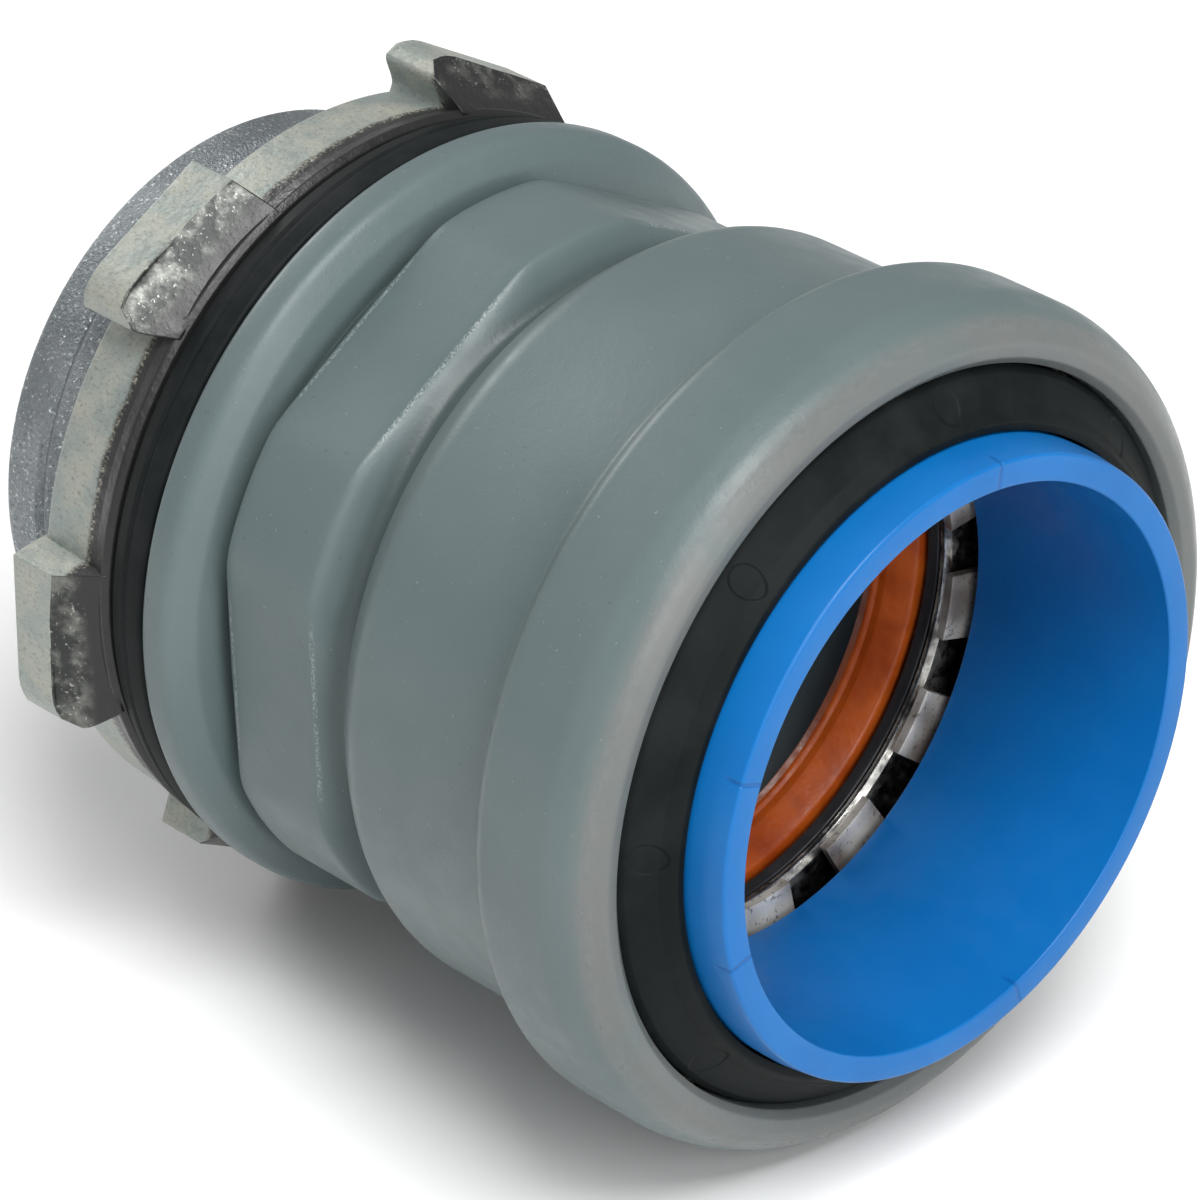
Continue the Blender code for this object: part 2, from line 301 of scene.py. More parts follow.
casting = turn("casting_body", [
    (lip_face - 0.42, LIP_BORE, 0.12),
    (lip_face - 0.10, LIP_BORE + 0.33, 0.25),
    (lip_face, 16.55, 0.5),
    (lip_face - 0.75, 17.60, 1.6),
    (lip_face - 2.10, bead_radius, 2.4),
    (BEAD_START, bead_radius, 0.9),
    (BEAD_START - 0.80, 17.20, 0.45),
    (BEAD_START - 1.20, BARREL, 0.7),
    (12.00, BARREL, 1.7),
    (10.35, 15.10, 1.5),
    (9.90, GROOVE, 0.9),
] + rows(HEX_END + 1.25, HEX_END, GROOVE, 0.1)
  + rows(HEX_END - 0.4, HEX_START + 0.4, GROOVE, 0.5)
  + rows(HEX_START, HEX_START - 0.95, GROOVE, 0.08) + [
    (2.25, 15.60, 0.8),
    (1.55, FLANGE, 0.8),
    (0.0, FLANGE, 0.45),
    (0.0, THROAT, 0.0),
    (SOCKET_FLOOR - 0.60, THROAT, 0.0),
    (SOCKET_FLOOR, THROAT + 0.60, 0.0),
    (SOCKET_FLOOR, SOCKET, 0.1),
    (seal_start - 0.25, SOCKET, 0.15),
    (seal_start - 0.25, CAVITY, 0.2),
    (holder_end + 0.12, CAVITY, 0.0),
    (holder_end + 0.12, BEAD_CAVITY, 0.2),
    (retainer_end, BEAD_CAVITY, 0.1),
    (weather_start, LIP_BORE, 0.2),
], steps=240)

# %% [markdown]
# ## The wrench hexagon
#
# On the real casting the hexagon's corners are turned down, so it is a ring
# with six flats, and its ends slope into the grooves. A join would leave a
# hard seam there, and a coated casting has none. So the rows of the section
# are moved outwards instead: to the flat or to the turned corner, whichever is
# nearer the axis, with a soft change between the two.

# %% Raise the hexagon
def soft_step(value):
    """0 to 1 with a level start and end."""
    value = min(1.0, max(0.0, value))
    return value * value * (3 - 2 * value)


def hexagon_radius(angle, softness=0.10):
    """Radius of the ring with six flats, at an angle in degrees."""
    from_flat = (angle - FLATS_AT + 30) % 60 - 30
    flat = HEX_FLAT / math.cos(math.radians(from_flat))
    gap = (HEX_CORNER - flat) / softness
    return HEX_CORNER - softness * math.log1p(math.exp(min(gap, 60)))


FRONT_RUN, BACK_RUN = 1.20, 0.90  # lengths of the hexagon's sloping ends
for vertex in casting.data.vertices:
    x, y, z = (value / MM for value in vertex.co)
    here = math.hypot(y, z)
    raised = soft_step((x - HEX_START + BACK_RUN) / BACK_RUN)
    raised *= soft_step((HEX_END + FRONT_RUN - x) / FRONT_RUN)
    if raised and abs(here - GROOVE) < 0.05:
        wanted = GROOVE + (hexagon_radius(math.degrees(math.atan2(y, z))) - GROOVE) * raised
        vertex.co.y *= wanted / here
        vertex.co.z *= wanted / here
casting.data.update()
print("casting with its hexagon has", len(casting.data.polygons), "faces")

# %% [markdown]
# ## The thread
#
# The nipple is left bare and carries a straight pipe thread, 14 turns to the
# inch. A thread is a ridge that moves along by one pitch while it goes once
# round, so the nipple is turned with closely spaced rings first, and each point
# of its outside is then moved in or out by where it lies on that helix. The
# thread fades out towards the flange, where the die stops. At the free end its
# crests are cut down instead, so the nut can start there.

# %% Cut a helix into a turned piece
THREAD_DEPTH = 0.5


def helix_drop(x, angle):
    """How far below the crest the thread lies at a place (mm) and an angle (radians, about +X)."""
    turns = x / PITCH - angle / math.tau
    ridge = abs(2 * (turns - math.floor(turns)) - 1)
    return THREAD_DEPTH * (1 - min(1.0, ridge * 1.25))


def cut_thread(piece, radius, start, end, fade=0.7, open_start=False):
    """Moves the points on one radius onto the thread; an open start is cut down to the root."""
    for vertex in piece.data.vertices:
        x, y, z = (value / MM for value in vertex.co)
        here = math.hypot(y, z)
        if abs(here - radius) > 0.02 or not start - 0.001 < x < end:
            continue
        drop = helix_drop(x, math.atan2(z, y)) * min(1.0, (end - x) / fade)
        share = min(1.0, max(0.0, (x - start) / fade))
        drop = max(drop, THREAD_DEPTH * (1 - share)) if open_start else drop * share
        vertex.co.y *= (radius - drop) / here
        vertex.co.z *= (radius - drop) / here


# %% Turn the nipple and thread it
THREAD_END = nipple_end + 2.30
nipple = turn("threaded_nipple", rows(-0.05, THREAD_END, CREST) + [
    (THREAD_END - 0.30, PILOT, 0.15),
    (nipple_end, PILOT, 0.45),
    (nipple_end, THROAT, 0.5),
    (-0.001, THROAT, 0.0),
    (0.30, THROAT + 0.5, 0.0),
    (0.30, CREST - 0.6, 0.0),
], steps=144)
cut_thread(nipple, CREST, THREAD_END, -0.3, open_start=True)
nipple.data.update()
bpy.ops.object.shade_smooth_by_angle(angle=math.radians(50))

# %% [markdown]
# ## The sealing gasket
#
# A rubber ring keeps rain out of the hole in the box. It shows as a black band
# between the flange and the locknut, with a shallow groove round its edge.

# %% Turn the gasket
gasket_middle = (gasket_start + gasket_end) / 2
gasket = turn("sealing_gasket", [
    (gasket_start, gasket_radius - 0.05, 0.25),
    (gasket_middle + 0.20, gasket_radius, 0.1),
    (gasket_middle, gasket_radius - 0.14, 0.12),
    (gasket_middle - 0.20, gasket_radius - 0.05, 0.1),
    (gasket_end, gasket_radius - 0.30, 0.35),
    (gasket_end, NUT_BORE + 0.05, 0.1),
    (gasket_start, NUT_BORE + 0.05, 0.1),
])

# %% [markdown]
# ## The locknut
#
# The locknut is a ring with a taper towards its back and six lugs that are
# struck round with a screwdriver. It gets the same thread as the nipple, a
# little wider, so the two stay in mesh when it turns.

# %% Turn the nut's ring
NUT_RADIUS = 16.25
nut = turn("lugged_locknut", [
    (nut_front, NUT_RADIUS - 0.25, 0.12),
    (nut_front - 0.25, NUT_RADIUS, 0.15),
    (nut_front - 0.90, NUT_RADIUS - 0.22, 0.3),
    (nut_back + 0.50, NUT_RADIUS - 0.40, 0.4),
    (nut_back, NUT_RADIUS - 1.10, 0.3),
    (nut_back, NUT_BORE + 0.55, 0.1),
] + rows(nut_back + 0.5, nut_front - 0.5, NUT_BORE) + [
    (nut_front, NUT_BORE + 0.45, 0.1),
], steps=144)
cut_thread(nut, NUT_BORE, nut_back + 0.5, nut_front - 0.5, fade=0.3)
nut.data.update()

# %% [markdown]
# ## A lug
#
# Each lug is a block that leans back from the ring's front edge. One end is
# hooked over a notch and has a rounded tip, and the other falls towards the
# ring. It starts as a finely divided cube. `lug_place` says where each point of
# that cube belongs, from three shares: along the lug, outwards, and through it
# from back to front. The edges are bevelled last.

# %% Name the lug's sizes
LUG_BACK = nut_back + 0.25
LUG_FRONT = nut_front - 0.06
LUG_ROOT = 14.60  # its inner end, sunk in the ring
LUG_TOP = lug_radius - 0.72  # top at the hooked end
LUG_FALL = 0.55  # how much lower the other end is
HOOK, OVERHANG = -3.55, 0.95  # the hooked end's place, and how far it hangs over the notch
TAIL, TAIL_LEAN = 3.05, 0.25
TIP_ROUNDING = 0.45
SLOPE_FROM, SLOPE, SLOPE_DEPTH = 15.85, 1.40, 2.10  # the front leans back above this radius

# %% Shape one lug
def lug_place(along, outwards, forward):
    """Sideways, outwards and axial place of a point, in mm, for three shares from 0 to 1."""
    near_tip = 1 - min(1.0, along * 5)
    top = LUG_TOP - LUG_FALL * along - 0.40 * near_tip ** 2
    hook = HOOK - OVERHANG * soft_step((outwards - 0.35) / 0.5)
    hook += TIP_ROUNDING * max(0.0, outwards - 0.8) * 5
    tail = TAIL - TAIL_LEAN * max(0.0, outwards - 0.55)
    radius = LUG_ROOT + (top - LUG_ROOT) * outwards
    front = LUG_FRONT - min(SLOPE_DEPTH, max(0.0, radius - SLOPE_FROM) * SLOPE)
    return hook + (tail - hook) * along, radius, LUG_BACK + (front - LUG_BACK) * forward


def across(sideways, outwards, angle, x):
    """A point from mm sideways and mm outwards of the axis, at an angle round it."""
    return around(x, outwards, angle) + spoke(angle + 90) * sideways * MM


bpy.ops.object.select_all(action="DESELECT")
bpy.ops.mesh.primitive_cube_add(size=1.0, location=(0, 0, 0))
lug = bpy.context.object
lug.name = lug.data.name = "lug"
bpy.ops.object.mode_set(mode="EDIT")
bpy.ops.mesh.select_all(action="SELECT")
bpy.ops.mesh.subdivide(number_cuts=15)
bpy.ops.object.mode_set(mode="OBJECT")
for vertex in lug.data.vertices:
    along, outwards, forward = (value + 0.5 for value in vertex.co)
    sideways, height, x = lug_place(along, outwards, forward)
    vertex.co = across(sideways, height, LUGS_AT, x)
soft = lug.modifiers.new("soft", "BEVEL")
soft.width = 0.28 * MM
soft.segments = 4
soft.angle_limit = math.radians(40)
apply_all(lug)
bpy.ops.object.mode_set(mode="EDIT")
tidy_faces()
bpy.ops.object.mode_set(mode="OBJECT")
print("lug has", len(lug.data.polygons), "faces")

# %% Copy the lug round and join all six to the ring
bpy.ops.object.select_all(action="DESELECT")
lug.select_set(True)
bpy.context.view_layer.objects.active = lug
lugs = [lug]
for _ in range(1, LUGS):
    bpy.ops.object.duplicate()
    bpy.ops.transform.rotate(value=math.tau / LUGS, orient_axis="X", center_override=(0, 0, 0))
    lugs.append(bpy.context.object)
for piece in lugs:
    piece.select_set(True)
bpy.ops.object.join()
bpy.ops.object.transform_apply()
join_on(nut, bpy.context.object)
bpy.ops.object.shade_smooth_by_angle(angle=math.radians(35))
print("locknut has", len(nut.data.polygons), "faces")

# %% [markdown]
# ## Rings inside the socket
#
# Behind the collar lie, from the box side: the orange seal that grips the
# conduit, a thin washer, a dished steel spacer, the grip ring with its teeth,
# and the ring that holds it. Only their inner edges show, but each is a whole
# piece.

# %% Turn the seal
seal = turn("conduit_seal_ring", [
    (seal_end, ring_radius, 0.15),
    (seal_start, ring_radius, 0.15),
    (seal_start, CONDUIT, 0.2),
    (seal_start + 0.55, 10.90, 0.2),
    (seal_start + 1.05, 10.74, 0.22),
    (seal_start + 1.25, 10.92, 0.1),
    (seal_start + 1.55, 10.98, 0.25),
    (seal_end - 0.35, 11.40, 0.5),
    (seal_end, 11.62, 0.25),
])

# %% Turn the washer and the spacer
backup = turn("seal_backup_washer", [
    (backup_end, ring_radius, 0.08),
    (backup_start, ring_radius, 0.08),
    (backup_start, COLLAR_BORE - 0.12, 0.1),
    (backup_end, COLLAR_BORE - 0.08, 0.1),
])
spacer = turn("dished_spacer", [
    (spacer_end, ring_radius, 0.08),
    (spacer_start, ring_radius, 0.08),
    (spacer_start, COLLAR_BORE + 0.02, 0.0),
    (spacer_start - 0.20, COLLAR_BORE - 0.12, 0.06),
    (spacer_start + 0.10, COLLAR_BORE - 0.12, 0.1),
    (spacer_end - 0.42, COLLAR_BORE + 0.10, 0.15),
    (spacer_end, 13.65, 0.1),
])

# %% Turn the hidden rings
holder = turn("grip_holder", [
    (holder_end, ring_radius, 0.15),
    (holder_start, ring_radius, 0.15),
    (holder_start, RING_BORE, 0.1),
    (holder_end, RING_BORE, 0.2),
], steps=96)
retainer = turn("skirt_retainer", [
    (retainer_end, retainer_radius, 0.1),
    (retainer_start, retainer_radius, 0.1),
    (retainer_start, RING_BORE, 0.15),
    (retainer_end, RING_BORE, 0.15),
], steps=96)

# %% [markdown]
# ## The grip ring
#
# The grip ring is one stamping of spring steel: a flat rim with fourteen teeth
# that lean inwards and back, so the conduit goes in and can't come out. Pushing
# the collar in bends the teeth away from the conduit. The rim is turned.

# %% Turn the rim
SHEET = 0.42
grip_back = grip_end - SHEET
rim = turn("grip_rim", [
    (grip_end, ring_radius, 0.08),
    (grip_back, ring_radius, 0.08),
    (grip_back, 13.25, 0.05),
    (grip_end, 13.25, 0.05),
])

# %% Shape one tooth and copy it round
TOOTH_ROOT, TOOTH_TIP = 13.40, 11.28
TOOTH_WIDTH = 3.05
TOOTH_TAPER = 0.06  # share of the width lost at the tip
TOOTH_LEAN = 0.32


def add_tooth(number, angle):
    """A stamped tooth: a cube scaled to the sheet, cut in rows, bevelled and leant back."""
    bpy.ops.object.select_all(action="DESELECT")
    middle = (TOOTH_ROOT + TOOTH_TIP) / 2
    bpy.ops.mesh.primitive_cube_add(size=MM, location=(0, 0, 0))
    tooth = bpy.context.object
    tooth.name = tooth.data.name = f"grip_tooth_{number:02d}"
    bpy.ops.object.mode_set(mode="EDIT")
    size = (SHEET, TOOTH_WIDTH, TOOTH_ROOT - TOOTH_TIP)
    bpy.ops.transform.resize(value=size, center_override=(0, 0, 0))
    bpy.ops.mesh.select_all(action="SELECT")
    bpy.ops.mesh.subdivide(number_cuts=6)
    bpy.ops.transform.translate(value=((grip_end - SHEET / 2) * MM, 0, middle * MM))
    bpy.ops.mesh.select_all(action="DESELECT")
    bpy.ops.object.mode_set(mode="OBJECT")
    for vertex in tooth.data.vertices:
        depth = (TOOTH_ROOT - vertex.co.z / MM) / (TOOTH_ROOT - TOOTH_TIP)
        vertex.co.x -= TOOTH_LEAN * MM * depth
        vertex.co.y *= 1 - TOOTH_TAPER * depth
        reach = vertex.co.z
        vertex.co.z = math.sqrt(max(reach * reach - vertex.co.y ** 2, 0))
    soft = tooth.modifiers.new("soft", "BEVEL")
    soft.width = 0.05 * MM
    soft.segments = 2
    soft.angle_limit = math.radians(50)
    apply_all(tooth)
    bpy.ops.object.mode_set(mode="EDIT")
    bpy.ops.mesh.select_all(action="SELECT")
    bpy.ops.transform.rotate(value=math.radians(angle), orient_axis="X", center_override=(0, 0, 0))
    tidy_faces()
    bpy.ops.object.mode_set(mode="OBJECT")
    bpy.ops.object.shade_smooth_by_angle(angle=math.radians(35))
    return tooth


teeth = [add_tooth(i + 1, TOOTH_AT + 360 / TEETH * i) for i in range(TEETH)]
points = teeth[0].data.vertices
middle = sum((point.co for point in points), Vector()) / len(points)
print("first tooth stands at", round(math.degrees(math.atan2(middle.y, middle.z)), 1), "degrees")

# %% [markdown]
# ## The release collar
#
# The blue collar guides the conduit. Its skirt is held under the rolled bead, so
# it can slide in by less than a millimetre, and its inner end presses the teeth
# down. It is moulded, so its wall tapers a little and its rim has small radii.

# %% Turn the collar
collar = turn("push_collar", [
    (collar_mouth, COLLAR_BORE, 0.10),
    (collar_mouth, 13.10, 0.16),
    (collar_mouth - 1.20, COLLAR_OUTSIDE, 0.0),
    (retainer_start - 0.25, COLLAR_OUTSIDE, 0.15),
    (retainer_start - 0.25, skirt_radius, 0.15),
    (holder_end + 1.05, skirt_radius, 0.15),
    (holder_end + 1.05, COLLAR_OUTSIDE, 0.1),
    (collar_end + 0.85, COLLAR_OUTSIDE, 0.1),
    (collar_end, 12.45, 0.1),
    (collar_end, COLLAR_BORE + 0.15, 0.08),
    (collar_mouth - 4.0, COLLAR_BORE + 0.02, 0.0),
])

# %% [markdown]
# ## The weather seal
#
# A rubber ring under the lip wipes the collar. It climbs towards the collar in
# two steps, and its face is what the rolled lip holds down.

# %% Turn the weather seal
weather = turn("weather_wiper", [
    (weather_top - 0.05, 13.36, 0.06),
    (weather_top, 13.75, 0.2),
    (26.98, 14.12, 0.05),
    (26.88, 14.20, 0.06),
    (26.10, 15.25, 0.15),
    (25.80, weather_radius, 0.15),
    (weather_start, weather_radius, 0.1),
    (weather_start, 13.36, 0.1),
])

# %% [markdown]
# ## How a finish is built
#
# Each finish is a small node tree on the Principled shader. Patterns read
# Object coordinates, which are metres from the fitting's origin, so a speck
# keeps its real size on every piece. Three things vary on a real surface: its
# colour, how rough it is, and its fine relief. The helpers below add a noise, a
# ramp between two values, and a relief.

# %% Helpers for a new finish and its noise
def new_finish(name, colour, roughness, metallic=0.0):
    """A material with a plain Principled shader, and what is needed to add patterns to it."""
    material = bpy.data.materials.new(name)
    material.use_nodes = True
    material.diffuse_color = (*colour, 1.0)
    tree = material.node_tree
    shader = tree.nodes["Principled BSDF"]
    shader.inputs["Base Color"].default_value = (*colour, 1.0)
    shader.inputs["Roughness"].default_value = roughness
    shader.inputs["Metallic"].default_value = metallic
    place = tree.nodes.new("ShaderNodeTexCoord").outputs["Object"]
    return material, tree, shader, place


def noise(tree, place, size, detail=2.0, roughness=0.5, stretch=None):
    """Noise with features about size millimetres across; stretch scales it along X, Y and Z."""
    if stretch:
        mapping = tree.nodes.new("ShaderNodeMapping")
        mapping.inputs["Scale"].default_value = stretch
        tree.links.new(place, mapping.inputs["Vector"])
        place = mapping.outputs["Vector"]
    node = tree.nodes.new("ShaderNodeTexNoise")
    node.inputs["Scale"].default_value = 1.0 / (size * MM)
    node.inputs["Detail"].default_value = detail
    node.inputs["Roughness"].default_value = roughness
    tree.links.new(place, node.inputs["Vector"])
    return node.outputs["Fac"]


def between(tree, value, low, high, out_low=0.0, out_high=1.0):
    """A value carried from one range to another, clamped and smoothed."""
    node = tree.nodes.new("ShaderNodeMapRange")
    node.interpolation_type = "SMOOTHSTEP"
    limits = {"From Min": low, "From Max": high, "To Min": out_low, "To Max": out_high}
    for name, number in limits.items():
        node.inputs[name].default_value = number
    tree.links.new(value, node.inputs["Value"])
    return node.outputs["Result"]


# %% Helpers for sums and colours
def maths(tree, operation, first, second=None):
    """One sum on two values, each a socket or a number."""
    node = tree.nodes.new("ShaderNodeMath")
    node.operation = operation
    for socket, value in zip(node.inputs, (first, second)):
        if isinstance(value, (int, float)):
            socket.default_value = value
        elif value is not None:
            tree.links.new(value, socket)
    return node.outputs["Value"]


def times(tree, first, second):
    """The product of two values."""
    return maths(tree, "MULTIPLY", first, second)


def length(tree, first, second):
    """The length of the diagonal of two values."""
    squares = (times(tree, value, value) for value in (first, second))
    return maths(tree, "SQRT", maths(tree, "ADD", *squares))


def blend_colours(tree, amount, first, second):
    """Two colours mixed by an amount; each is a socket or an RGB triple."""
    node = tree.nodes.new("ShaderNodeMix")
    node.data_type = "RGBA"
    tree.links.new(amount, node.inputs["Factor"])
    for socket, colour in ((node.inputs["A"], first), (node.inputs["B"], second)):
        if isinstance(colour, tuple):
            socket.default_value = (*colour, 1.0)
        else:
            tree.links.new(colour, socket)
    return node.outputs["Result"]


# %% Helpers for relief, places and wearing a finish
def relief(tree, shader, height, depth, strength=1.0):
    """Relief of a depth in millimetres from a 0 to 1 height, on top of any that is there."""
    node = tree.nodes.new("ShaderNodeBump")
    node.inputs["Distance"].default_value = depth * MM
    node.inputs["Strength"].default_value = strength
    tree.links.new(height, node.inputs["Height"])
    socket = shader.inputs["Normal"]
    if socket.is_linked:
        tree.links.new(socket.links[0].from_socket, node.inputs["Normal"])
    tree.links.new(node.outputs["Normal"], socket)


def round_the_axis(tree, place):
    """Place along the axis, radius and angle round it, from Object coordinates."""
    split = tree.nodes.new("ShaderNodeSeparateXYZ")
    tree.links.new(place, split.inputs["Vector"])
    x, y, z = (split.outputs[name] for name in "XYZ")
    return x, length(tree, y, z), maths(tree, "ARCTAN2", y, z)


def wear(piece, *materials):
    """Gives a piece its materials, the first one on every face."""
    piece.data.materials.clear()
    for material in materials:
        piece.data.materials.append(material)
    for face in piece.data.polygons:
        face.material_index = 0


# %% [markdown]
# ## Grey coat
#
# The casting has a satin grey coat over zinc. It is nearly even, with a slow
# drift in tone, a few pale and dark specks of dust in the coat, and a faint
# skin like the peel of an orange. Where the lip was rolled over, the coat is
# stretched: it is paler and warmer there, with a faint painted highlight on
# the lip's shoulder. The two grooves are darkened with painted shade. Painted
# glints run along the hexagon's edges as painted highlights.

# %% Mix the grey coat
grey_coat, tree, shader, place = new_finish("grey_coat", (0.092, 0.124, 0.128), 0.42)
shader.inputs["Specular IOR Level"].default_value = 0.36
x, radius, angle = round_the_axis(tree, place)
drift = blend_colours(tree, between(tree, noise(tree, place, 9.0, 3.0), 0.3, 0.7),
                      (0.086, 0.117, 0.121), (0.100, 0.130, 0.133))
pale_speck = between(tree, noise(tree, place, 0.20, 1.0), 0.755, 0.79)
dark_speck = between(tree, noise(tree, place, 0.30, 1.0, stretch=(1.0, 1.1, 0.9)), 0.245, 0.215)
colour = blend_colours(tree, times(tree, pale_speck, 0.35), drift, (0.26, 0.29, 0.29))
colour = blend_colours(tree, times(tree, dark_speck, 0.30), colour, (0.04, 0.05, 0.05))
# Painted shade: the coat's colour is darkened in the two grooves.
groove_painted_shade = times(tree,
                  between(tree, radius, (GROOVE + 0.75) * MM, GROOVE * MM, 0.0, 0.55),
                  between(tree, radius, (SOCKET + 1.0) * MM, (SOCKET + 1.2) * MM))
groove_painted_shade = times(tree, groove_painted_shade, between(tree, x, 14.0 * MM, 11.0 * MM))
colour = blend_colours(tree, groove_painted_shade, colour, (0.030, 0.042, 0.042))
rolled = times(tree,
               between(tree, x, (lip_face - 1.2) * MM, (lip_face - 0.3) * MM),
               between(tree, noise(tree, place, 3.5, 2.0), 0.2, 0.6, 0.45, 0.9))
colour = blend_colours(tree, rolled, colour, (0.118, 0.123, 0.118))
# Painted highlight: a faint bright line along the lip's shoulder, broken up by noise.
lip_highlight_noise = noise(tree, place, 0.35, 3.0, 0.6, stretch=(2.2, 0.7, 0.7))
shoulder = times(tree,
                 between(tree, x, (lip_face - 0.80) * MM, (lip_face - 0.55) * MM),
                 between(tree, x, (lip_face - 0.20) * MM, (lip_face - 0.42) * MM))
lip_painted_highlight = times(tree, shoulder, between(tree, lip_highlight_noise, 0.35, 0.70))
colour = blend_colours(tree, times(tree, lip_painted_highlight, 0.05), colour, (0.34, 0.35, 0.335))
# Painted highlights: bright glints in thin lines along the ends of the hexagon's flats.
painted_glint = noise(tree, place, 0.12, 2.0, 0.6, stretch=(1.6, 1.0, 1.0))
near_flat = times(tree,
                  between(tree, radius, (HEX_FLAT - 0.22) * MM, (HEX_FLAT - 0.02) * MM),
                  between(tree, radius, (HEX_FLAT + 0.62) * MM, (HEX_FLAT + 0.30) * MM))
painted_edge_glint = times(tree, between(tree, painted_glint, 0.42, 0.66), near_flat)
for edge, side in ((HEX_START + 0.02, 1), (HEX_END + 0.16, -1)):
    line = times(tree,
                 between(tree, x, (edge - 0.13 * side) * MM, edge * MM),
                 between(tree, x, (edge + 0.15 * side) * MM, (edge + 0.05 * side) * MM))
    painted_edge_line = times(tree, times(tree, line, painted_edge_glint), 0.45)
    colour = blend_colours(tree, painted_edge_line, colour, (0.42, 0.46, 0.46))
tree.links.new(colour, shader.inputs["Base Color"])
satin = between(tree, noise(tree, place, 1.6, 3.0), 0.3, 0.7, 0.36, 0.44)
tree.links.new(maths(tree, "SUBTRACT", satin, times(tree, shoulder, 0.10)), shader.inputs["Roughness"])
relief(tree, shader, noise(tree, place, 0.55, 2.0), 0.012)
relief(tree, shader, noise(tree, place, 0.14, 1.0), 0.007)
relief(tree, shader, pale_speck, 0.012)

# %% [markdown]
# ## Zinc of the nipple
#
# The nipple is bare zinc, tumbled after casting, so it is grainy and sparkles.
# Small bright grains sit in a blue-grey ground.

# %% Mix the bare zinc
bare_zinc, tree, shader, place = new_finish("bare_zinc", (0.20, 0.22, 0.23), 0.46, 0.8)
grain = noise(tree, place, 0.16, 3.0, 0.65)
patch = noise(tree, place, 3.2, 3.0)
colour = blend_colours(tree, between(tree, patch, 0.3, 0.7), (0.17, 0.19, 0.20), (0.25, 0.27, 0.28))
colour = blend_colours(tree, between(tree, grain, 0.42, 0.22), colour, (0.08, 0.09, 0.10))
colour = blend_colours(tree, between(tree, grain, 0.60, 0.70), colour, (0.70, 0.73, 0.74))
tree.links.new(colour, shader.inputs["Base Color"])
tree.links.new(between(tree, grain, 0.25, 0.75, 0.60, 0.28), shader.inputs["Roughness"])
relief(tree, shader, grain, 0.09)

# %% [markdown]
# ## Zinc plate of the locknut
#
# The locknut is plated and has a thin yellow-green bloom, with fine dark lines
# from the press. A band along its front edge is rubbed smooth by the gasket,
# and its colour is painted almost black as a painted reflection of the black
# rubber in front of it, with a painted highlight line where the band ends. The
# lugs' fronts were struck in the press and are smoother; a darker copy of the
# plate paints shade on them, with painted glints.

# %% Mix the nut's plate
dull_plate, tree, shader, place = new_finish("dull_plate", (0.28, 0.31, 0.28), 0.46, 0.35)
x, radius, angle = round_the_axis(tree, place)
bloom = noise(tree, place, 1.9, 4.0, 0.6)
scratch = noise(tree, place, 0.16, 4.0, 0.62, stretch=(0.8, 1.2, 1.2))
colour = blend_colours(tree, between(tree, bloom, 0.32, 0.68),
                       (0.225, 0.262, 0.250), (0.330, 0.336, 0.290))
dark_line = times(tree, between(tree, scratch, 0.50, 0.28), 0.55)
colour = blend_colours(tree, dark_line, colour, (0.10, 0.11, 0.10))
pale_line = times(tree, between(tree, scratch, 0.62, 0.78), 0.5)
colour = blend_colours(tree, pale_line, colour, (0.50, 0.52, 0.48))
# Painted reflection: the front band is painted almost black, and a painted highlight line marks where
# it ends.
ragged = maths(tree, "ADD", x, times(tree, noise(tree, place, 1.1, 3.0, 0.6), 0.5 * MM))
front_band_painted_dark = between(tree, ragged, (nut_front - 1.40) * MM, (nut_front - 1.10) * MM)
band_end_painted_highlight = times(tree, front_band_painted_dark, between(tree, ragged, (nut_front - 0.90) * MM, (nut_front - 1.12) * MM))
colour = blend_colours(tree, front_band_painted_dark, colour, (0.030, 0.031, 0.030))
band_end_painted_highlight = times(tree, band_end_painted_highlight, between(tree, scratch, 0.46, 0.66, 0.0, 0.8))
colour = blend_colours(tree, band_end_painted_highlight, colour, (0.42, 0.40, 0.33))
tree.links.new(colour, shader.inputs["Base Color"])
dull = between(tree, bloom, 0.25, 0.75, 0.38, 0.54)
tree.links.new(maths(tree, "SUBTRACT", dull, times(tree, front_band_painted_dark, 0.12)), shader.inputs["Roughness"])
relief(tree, shader, noise(tree, place, 0.5, 3.0, 0.6), 0.06)
relief(tree, shader, noise(tree, place, 4.0, 1.0), 0.20)

# %% Mix the plate of the lugs' fronts
# Painted shade: a darker copy of the plate for the lugs' faces that look towards the mouth, with
# painted glints, and a band next to the gasket painted near-black as painted shade.
lug_front_painted_shade, tree, shader, place = new_finish("lug_front_painted_shade", (0.15, 0.155, 0.14), 0.36, 0.6)
x, radius, angle = round_the_axis(tree, place)
smear = noise(tree, place, 1.2, 4.0, 0.62)
fine = noise(tree, place, 0.18, 3.0, 0.6)
colour = blend_colours(tree, between(tree, smear, 0.42, 0.68),
                       (0.028, 0.030, 0.029), (0.138, 0.142, 0.128))
painted_glint = times(tree, between(tree, fine, 0.60, 0.74), 0.6)
colour = blend_colours(tree, painted_glint, colour, (0.48, 0.48, 0.44))
ragged = maths(tree, "ADD", x, times(tree, noise(tree, place, 1.1, 3.0, 0.6), 0.5 * MM))
front_band_painted_dark = between(tree, ragged, (nut_front - 1.10) * MM, (nut_front - 0.55) * MM)
colour = blend_colours(tree, front_band_painted_dark, colour, (0.028, 0.029, 0.028))
tree.links.new(colour, shader.inputs["Base Color"])
tree.links.new(between(tree, smear, 0.3, 0.7, 0.44, 0.32), shader.inputs["Roughness"])
relief(tree, shader, smear, 0.06)
relief(tree, shader, fine, 0.02)

